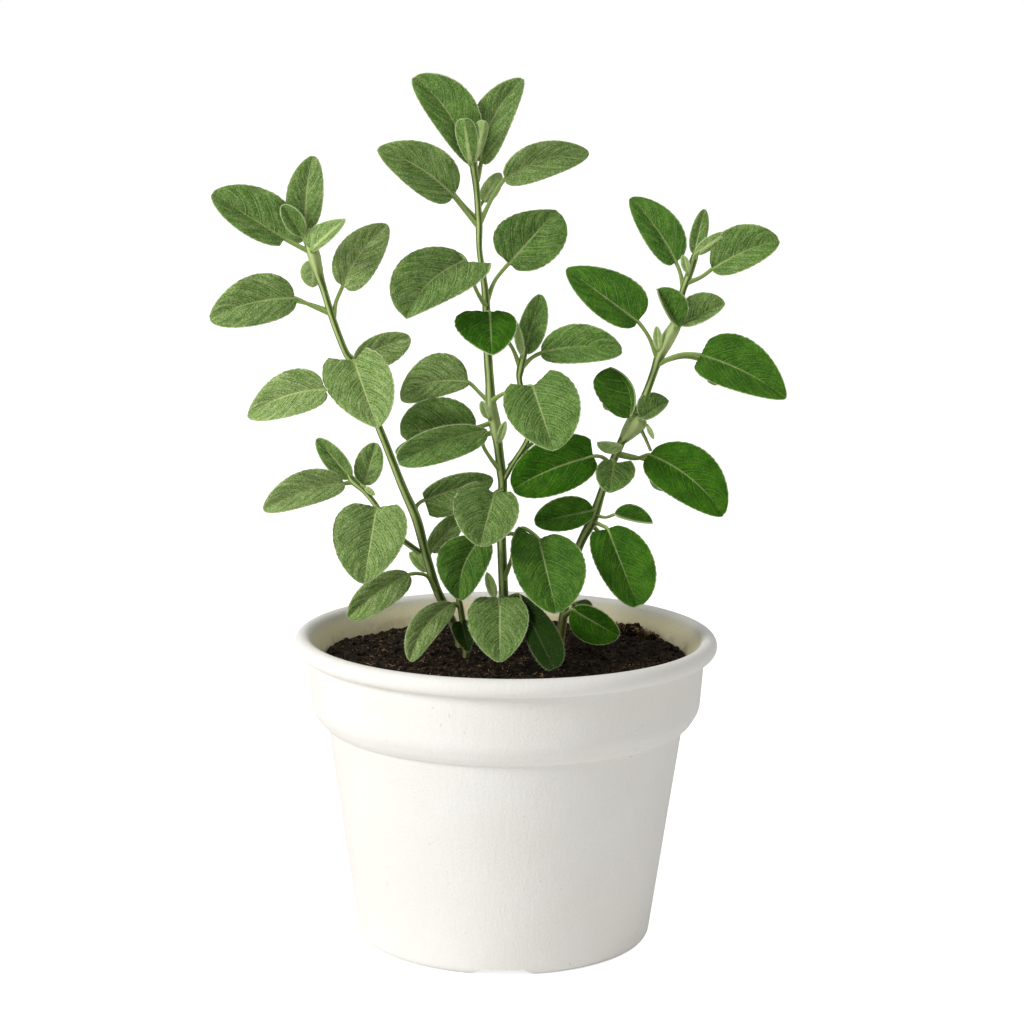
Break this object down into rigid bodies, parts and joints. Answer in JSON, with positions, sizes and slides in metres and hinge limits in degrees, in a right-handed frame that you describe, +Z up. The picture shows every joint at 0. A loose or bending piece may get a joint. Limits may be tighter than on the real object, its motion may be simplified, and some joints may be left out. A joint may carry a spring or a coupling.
{
  "type": "potted herb plant",
  "caption": "Young herb plant with broad, softly hairy leaf pairs on upright stems, growing in soil in a round white pot with a beaded rim.",
  "frame": {"origin": "centre of the pot's base, on the ground", "axes": "+Z up along the pot's axis, the longest extent; the side shown in the picture faces -Y, with the left stem toward -X"},
  "size_m": [0.1724, 0.1294, 0.2641],
  "materials": {
    "pot_white": "matte",
    "soil_brown": "matte",
    "leaf_green": "matte"
  },
  "bodies": {
    "root": {"pot": "pot_white", "soil": "soil_brown", "leafy_stem_left": "leaf_green", "young_shoot": "leaf_green", "leafy_stem_middle": "leaf_green", "leafy_stem_right": "leaf_green"}
  },
  "joints": []
}
